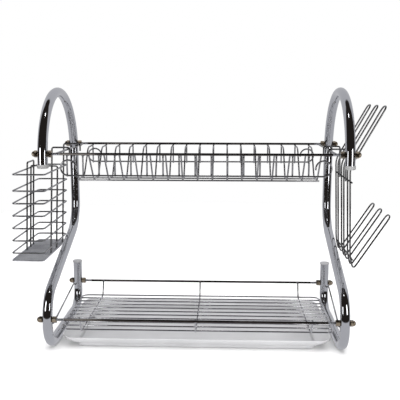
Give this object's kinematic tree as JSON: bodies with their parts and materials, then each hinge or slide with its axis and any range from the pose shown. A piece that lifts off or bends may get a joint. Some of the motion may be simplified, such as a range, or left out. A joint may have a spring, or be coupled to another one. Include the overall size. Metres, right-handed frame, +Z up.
{
  "type": "dish drying rack",
  "caption": "Two-tier dish drying rack with bent side tubes, plate dividers, a lower shelf, a drip tray, a cutlery basket and a cup holder.",
  "frame": {"origin": "on the worktop, midway between the two side tubes and below the centres of their arches", "axes": "+Z up, +X along the rack towards the cup holder, -Y towards the front where the tray pulls out"},
  "size_m": [0.5582, 0.2176, 0.385],
  "materials": {
    "chrome": "polished plating",
    "nut_steel": "polished, slightly warm",
    "mesh_steel": "satin expanded mesh",
    "plug_plastic": "satin",
    "tray_plastic": "semi-gloss"
  },
  "bodies": {
    "frame": {"side_tube_left": "chrome", "side_tube_right": "chrome", "front_plug_left": "plug_plastic", "front_plug_right": "plug_plastic", "post_plug_left": "plug_plastic", "post_plug_right": "plug_plastic", "tie_rod_top_front": "chrome", "cap_nut_top_front_left": "nut_steel", "inner_nut_top_front_left": "nut_steel", "cap_nut_top_front_right": "nut_steel", "inner_nut_top_front_right": "nut_steel", "tie_rod_top_rear": "chrome", "cap_nut_top_rear_left": "nut_steel", "inner_nut_top_rear_left": "nut_steel", "cap_nut_top_rear_right": "nut_steel", "inner_nut_top_rear_right": "nut_steel", "tie_rod_low_front": "chrome", "cap_nut_low_front_left": "nut_steel", "inner_nut_low_front_left": "nut_steel", "cap_nut_low_front_right": "nut_steel", "inner_nut_low_front_right": "nut_steel", "tie_rod_low_rear": "chrome", "cap_nut_low_rear_left": "nut_steel", "inner_nut_low_rear_left": "nut_steel", "cap_nut_low_rear_right": "nut_steel", "inner_nut_low_rear_right": "nut_steel", "plate_divider_01": "chrome", "plate_divider_02": "chrome", "plate_divider_03": "chrome", "plate_divider_04": "chrome", "plate_divider_05": "chrome", "plate_divider_06": "chrome", "plate_divider_07": "chrome", "plate_divider_08": "chrome", "plate_divider_09": "chrome", "plate_divider_10": "chrome", "plate_divider_11": "chrome", "plate_divider_12": "chrome", "plate_divider_13": "chrome", "plate_divider_14": "chrome", "plate_divider_15": "chrome", "plate_divider_16": "chrome", "plate_divider_17": "chrome", "rack_rim_wire_front": "chrome", "rack_rim_wire_rear": "chrome", "trough_wire_front": "chrome", "trough_wire_rear": "chrome", "rack_side_wire_left": "chrome", "rack_side_wire_right": "chrome", "shelf_grille": "chrome", "shelf_side_wire_left": "chrome", "shelf_side_wire_right": "chrome"},
    "tray": {"drip_tray": "tray_plastic"},
    "basket": {"cutlery_basket": "chrome", "basket_floor": "mesh_steel"},
    "cup_holder": {"cup_holder": "chrome"}
  },
  "joints": [
    {"name": "tray_slide", "type": "slide", "parent": "frame", "child": "tray", "axis": [0, -1, 0], "range_m": [0, 0.2]},
    {"name": "basket_lift", "type": "slide", "parent": "frame", "child": "basket", "axis": [0, 0, 1], "range_m": [0, 0.045]},
    {"name": "cup_holder_lift", "type": "slide", "parent": "frame", "child": "cup_holder", "axis": [0, 0, 1], "range_m": [0, 0.045]}
  ]
}
